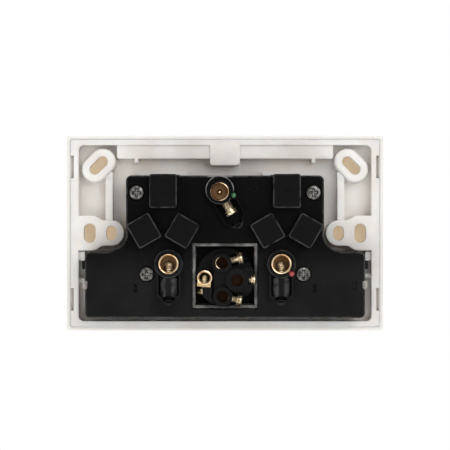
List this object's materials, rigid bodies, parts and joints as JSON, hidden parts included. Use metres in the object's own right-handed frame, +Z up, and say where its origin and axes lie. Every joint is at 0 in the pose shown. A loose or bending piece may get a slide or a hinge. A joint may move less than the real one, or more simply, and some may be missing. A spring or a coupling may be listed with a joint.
{
  "type": "double wall socket",
  "caption": "Double flat-pin wall socket with rocker switches and an extra switch, seen from its wiring side: white plate, black housing and brass wire terminals.",
  "frame": {"origin": "middle of the plate on the wall plane, midway between the two wall fixing slots", "axes": "+X to the right seen from the front; +Y into the wall; +Z up as installed, switches above the sockets. The picture sees the part from behind and upside down, with +X to its right and +Z down"},
  "size_m": [0.117, 0.0297, 0.072],
  "materials": {
    "white_plastic": "moulded satin",
    "black_plastic": "moulded satin",
    "brass": "machined",
    "contact_brass": "rolled",
    "plated_steel": "plated",
    "spring_steel": "drawn",
    "plunger_plastic": "moulded",
    "green_paint": "paint",
    "red_paint": "paint"
  },
  "bodies": {
    "plate": {"cover_plate": "white_plastic", "grid_plate": "white_plastic", "rear_housing": "black_plastic", "housing_screws": "plated_steel", "earth_bar": "contact_brass", "neutral_bar": "contact_brass", "active_bar": "contact_brass", "left_switched_contact": "contact_brass", "right_switched_contact": "contact_brass", "extra_switch_body": "black_plastic", "earth_mark": "green_paint", "active_mark": "red_paint", "earth_terminal": "brass", "neutral_terminal": "brass", "active_terminal": "brass", "common_terminal": "brass", "lower_way_terminal": "brass", "upper_way_terminal": "brass", "loop_terminal": "brass"},
    "left_rocker": {"left_rocker": "white_plastic", "left_plunger": "plunger_plastic", "left_spring": "spring_steel"},
    "left_lever": {"left_lever": "contact_brass"},
    "extra_rocker": {"extra_rocker": "white_plastic", "extra_plunger": "plunger_plastic", "extra_spring": "spring_steel"},
    "extra_lever": {"extra_lever": "contact_brass"},
    "right_rocker": {"right_rocker": "white_plastic", "right_plunger": "plunger_plastic", "right_spring": "spring_steel"},
    "right_lever": {"right_lever": "contact_brass"},
    "earth_screw": {"earth_screw": "brass"},
    "neutral_screw": {"neutral_screw": "brass"},
    "active_screw": {"active_screw": "brass"},
    "common_screw": {"common_screw": "brass"},
    "lower_way_screw": {"lower_way_screw": "brass"},
    "upper_way_screw": {"upper_way_screw": "brass"},
    "loop_screw": {"loop_screw": "brass"}
  },
  "joints": [
    {"name": "left_rocker_tilt", "type": "hinge", "parent": "plate", "child": "left_rocker", "pos_m": [-0.038, -0.0051, 0.0161], "axis": [1, 0, 0], "range_deg": [0, 12]},
    {"name": "left_lever_tilt", "type": "hinge", "parent": "plate", "child": "left_lever", "pos_m": [-0.038, 0.0023, 0.0161], "axis": [1, 0, 0], "range_deg": [-18, 0]},
    {"name": "extra_rocker_tilt", "type": "hinge", "parent": "plate", "child": "extra_rocker", "pos_m": [0, -0.0051, 0.0161], "axis": [1, 0, 0], "range_deg": [0, 12]},
    {"name": "extra_lever_tilt", "type": "hinge", "parent": "plate", "child": "extra_lever", "pos_m": [0, 0.0023, 0.0161], "axis": [1, 0, 0], "range_deg": [-18, 0]},
    {"name": "right_rocker_tilt", "type": "hinge", "parent": "plate", "child": "right_rocker", "pos_m": [0.038, -0.0051, 0.0161], "axis": [1, 0, 0], "range_deg": [0, 12]},
    {"name": "right_lever_tilt", "type": "hinge", "parent": "plate", "child": "right_lever", "pos_m": [0.038, 0.0023, 0.0161], "axis": [1, 0, 0], "range_deg": [-18, 0]},
    {"name": "earth_screw_in", "type": "slide", "parent": "plate", "child": "earth_screw", "axis": [-0.4848, 0, -0.8746], "range_m": [0, 0.0036]},
    {"name": "neutral_screw_in", "type": "slide", "parent": "plate", "child": "neutral_screw", "axis": [0, 0, -1], "range_m": [-0.00385, 0]},
    {"name": "active_screw_in", "type": "slide", "parent": "plate", "child": "active_screw", "axis": [0, 0, -1], "range_m": [-0.00385, 0]},
    {"name": "common_screw_in", "type": "slide", "parent": "plate", "child": "common_screw", "axis": [-1, 0, 0], "range_m": [0, 0.0008]},
    {"name": "lower_way_screw_in", "type": "slide", "parent": "plate", "child": "lower_way_screw", "axis": [-0.9703, 0, 0.2419], "range_m": [0, 0.0023]},
    {"name": "upper_way_screw_in", "type": "slide", "parent": "plate", "child": "upper_way_screw", "axis": [-0.9703, 0, -0.2419], "range_m": [0, 0.0017]},
    {"name": "loop_screw_in", "type": "slide", "parent": "plate", "child": "loop_screw", "axis": [0.1045, 0, -0.9945], "range_m": [-0.003, 0.0009]}
  ],
  "couplings": [
    {"joint": "left_lever_tilt", "follows": "left_rocker_tilt", "ratio": -1.5},
    {"joint": "extra_lever_tilt", "follows": "extra_rocker_tilt", "ratio": -1.5},
    {"joint": "right_lever_tilt", "follows": "right_rocker_tilt", "ratio": -1.5}
  ]
}
